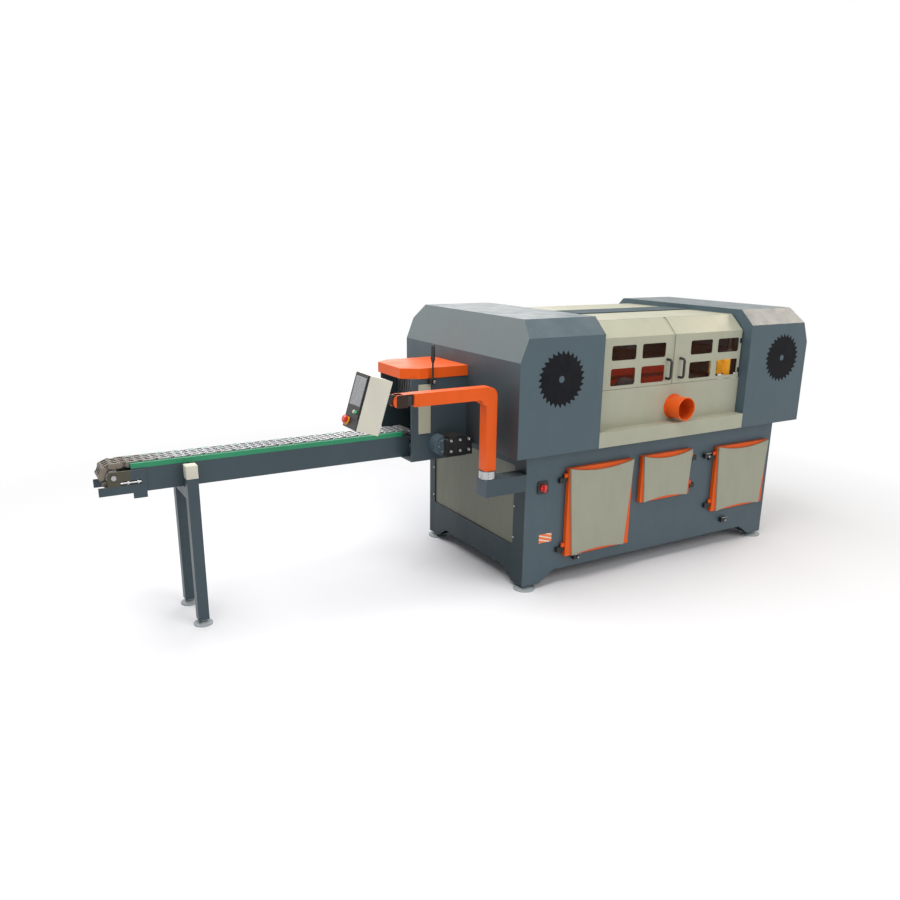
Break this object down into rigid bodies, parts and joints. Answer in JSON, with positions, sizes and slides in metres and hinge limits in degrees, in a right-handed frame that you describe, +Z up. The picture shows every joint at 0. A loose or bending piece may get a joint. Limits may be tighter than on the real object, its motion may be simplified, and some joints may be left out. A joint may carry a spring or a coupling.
{
  "type": "multi rip saw",
  "caption": "Floor-standing multi rip saw with a chain infeed conveyor, hinged window doors, access panels, a dust spout and a control box on a swing arm.",
  "frame": {"origin": "on the floor under the middle of the machine's bounding box", "axes": "+X along the feed from the conveyor's tail to the outfeed end, +Y from the doors to the rear, +Z up"},
  "size_m": [4.1976, 1.305, 1.53],
  "materials": {
    "slate_paint": "satin powder coat",
    "beige_paint": "satin powder coat",
    "orange_paint": "gloss powder coat",
    "cream_paint": "satin powder coat",
    "yellow_paint": "satin paint",
    "red_paint": "satin paint",
    "blue_paint": "satin paint",
    "black_paint": "satin paint",
    "bright_steel": "machined and oiled",
    "green_rail": "satin",
    "black_plastic": "satin",
    "red_plastic": "gloss",
    "smoked_pane": "clear gloss",
    "belt_rubber": "matt"
  },
  "bodies": {
    "machine": {"base_front_plate": "slate_paint", "base_rear_plate": "slate_paint", "base_end_frames": "slate_paint", "base_end_panels": "beige_paint", "motor_shelf": "slate_paint", "levelling_feet": "bright_steel", "bed_plate": "slate_paint", "infeed_housing": "slate_paint", "outfeed_housing": "slate_paint", "roof_cover": "beige_paint", "front_apron": "beige_paint", "dust_spout": "orange_paint", "hinge_blocks": "black_paint", "switch_bodies": "black_plastic", "infeed_trough": "slate_paint", "trough_strip": "beige_paint", "infeed_hood": "orange_paint", "feed_gearbox": "black_paint", "conveyor_beam": "slate_paint", "conveyor_rails": "green_rail", "conveyor_chain": "bright_steel", "conveyor_legs": "slate_paint", "tail_plates": "slate_paint", "arm_bracket": "slate_paint", "bearing_blocks": "slate_paint", "guide_columns": "bright_steel", "work_table": "bright_steel", "saw_motor": "blue_paint", "drive_belt": "belt_rubber", "blade_hood": "red_paint"},
    "left_door": {"door_left": "beige_paint", "door_left_panes": "smoked_pane", "door_left_handle": "black_plastic"},
    "right_door": {"door_right": "beige_paint", "door_right_panes": "smoked_pane", "door_right_handle": "black_plastic"},
    "left_panel": {"panel_left_tray": "orange_paint", "panel_left_cover": "beige_paint"},
    "middle_panel": {"panel_middle_tray": "orange_paint", "panel_middle_cover": "beige_paint"},
    "right_panel": {"panel_right_tray": "orange_paint", "panel_right_cover": "beige_paint"},
    "arm": {"swing_arm": "orange_paint"},
    "control": {"control_box": "cream_paint", "control_face": "black_plastic"},
    "stop_button": {"estop_button": "red_plastic"},
    "switch_knob": {"main_switch_knob": "red_plastic"},
    "kickback_guard": {"kickback_lever": "black_plastic", "kickback_fingers": "bright_steel"},
    "feed_sprocket": {"drive_sprocket": "bright_steel"},
    "tail_idler": {"idler_drum": "bright_steel"},
    "arbor": {"saw_arbor": "bright_steel", "saw_blades": "bright_steel"},
    "rotor": {"motor_rotor": "bright_steel"},
    "infeed_carriage": {"infeed_pressure_carriage": "yellow_paint"},
    "infeed_presser": {"infeed_pressure_roller": "bright_steel"},
    "outfeed_carriage": {"outfeed_pressure_carriage": "yellow_paint"},
    "outfeed_presser": {"outfeed_pressure_roller": "bright_steel"},
    "infeed_roller": {"infeed_bed_roller": "bright_steel"},
    "outfeed_roller": {"outfeed_bed_roller": "bright_steel"}
  },
  "joints": [
    {"name": "left_door_hinge", "type": "hinge", "parent": "machine", "child": "left_door", "pos_m": [0.43283, -0.5345, 1.27], "axis": [0, 0, -1], "range_deg": [0, 90]},
    {"name": "right_door_hinge", "type": "hinge", "parent": "machine", "child": "right_door", "pos_m": [1.55682, -0.5345, 1.27], "axis": [0, 0, 1], "range_deg": [0, 90]},
    {"name": "left_panel_hinge", "type": "hinge", "parent": "machine", "child": "left_panel", "pos_m": [0.25083, -0.538, 0.437], "axis": [0, 0, -1], "range_deg": [0, 95]},
    {"name": "middle_panel_hinge", "type": "hinge", "parent": "machine", "child": "middle_panel", "pos_m": [1.23283, -0.538, 0.56], "axis": [0, 0, 1], "range_deg": [0, 95]},
    {"name": "right_panel_hinge", "type": "hinge", "parent": "machine", "child": "right_panel", "pos_m": [1.42883, -0.538, 0.473], "axis": [0, 0, -1], "range_deg": [0, 95]},
    {"name": "arm_pivot", "type": "hinge", "parent": "machine", "child": "arm", "pos_m": [-0.23217, -0.4725, 0.74], "axis": [0, 0, 1], "range_deg": [0, 90]},
    {"name": "control_tilt", "type": "hinge", "parent": "arm", "child": "control", "pos_m": [-0.76718, -0.4725, 1.1605], "axis": [0, 1, 0], "range_deg": [-15, 25]},
    {"name": "stop_press", "type": "slide", "parent": "control", "child": "stop_button", "axis": [0.9537, 0, -0.3007], "range_m": [0, 0.006], "stiffness_N_per_m": 1500},
    {"name": "switch_turn", "type": "hinge", "parent": "machine", "child": "switch_knob", "pos_m": [0.10282, -0.5425, 0.607], "axis": [0, -1, 0], "range_deg": [0, 90]},
    {"name": "kickback_swing", "type": "hinge", "parent": "machine", "child": "kickback_guard", "pos_m": [-0.37117, 0.1025, 1.174], "axis": [0, -1, 0], "range_deg": [0, 55]},
    {"name": "feed_spin", "type": "hinge", "parent": "machine", "child": "feed_sprocket", "pos_m": [-0.32317, 0.1025, 0.81635], "axis": [0, 1, 0], "continuous": true},
    {"name": "tail_spin", "type": "hinge", "parent": "machine", "child": "tail_idler", "pos_m": [-2.02718, 0.1025, 0.81635], "axis": [0, 1, 0], "continuous": true},
    {"name": "arbor_spin", "type": "hinge", "parent": "machine", "child": "arbor", "pos_m": [0.99482, 0.1025, 1.032], "axis": [0, 1, 0], "continuous": true},
    {"name": "rotor_spin", "type": "hinge", "parent": "machine", "child": "rotor", "pos_m": [0.99482, 0.2775, 0.33], "axis": [0, 1, 0], "continuous": true},
    {"name": "infeed_lift", "type": "slide", "parent": "machine", "child": "infeed_carriage", "axis": [0, 0, 1], "range_m": [0, 0.08]},
    {"name": "infeed_press_spin", "type": "hinge", "parent": "infeed_carriage", "child": "infeed_presser", "pos_m": [0.20783, 0.1025, 1], "axis": [0, 1, 0], "continuous": true},
    {"name": "outfeed_lift", "type": "slide", "parent": "machine", "child": "outfeed_carriage", "axis": [0, 0, 1], "range_m": [0, 0.08]},
    {"name": "outfeed_press_spin", "type": "hinge", "parent": "outfeed_carriage", "child": "outfeed_presser", "pos_m": [1.89282, 0.1025, 1], "axis": [0, 1, 0], "continuous": true},
    {"name": "infeed_roller_spin", "type": "hinge", "parent": "machine", "child": "infeed_roller", "pos_m": [0.20783, 0.1025, 0.852], "axis": [0, 1, 0], "continuous": true},
    {"name": "outfeed_roller_spin", "type": "hinge", "parent": "machine", "child": "outfeed_roller", "pos_m": [1.89282, 0.1025, 0.852], "axis": [0, 1, 0], "continuous": true}
  ],
  "couplings": [
    {"joint": "tail_spin", "follows": "feed_spin", "ratio": 1},
    {"joint": "infeed_roller_spin", "follows": "feed_spin", "ratio": 1.655},
    {"joint": "outfeed_roller_spin", "follows": "feed_spin", "ratio": 1.655},
    {"joint": "rotor_spin", "follows": "arbor_spin", "ratio": 0.7}
  ]
}
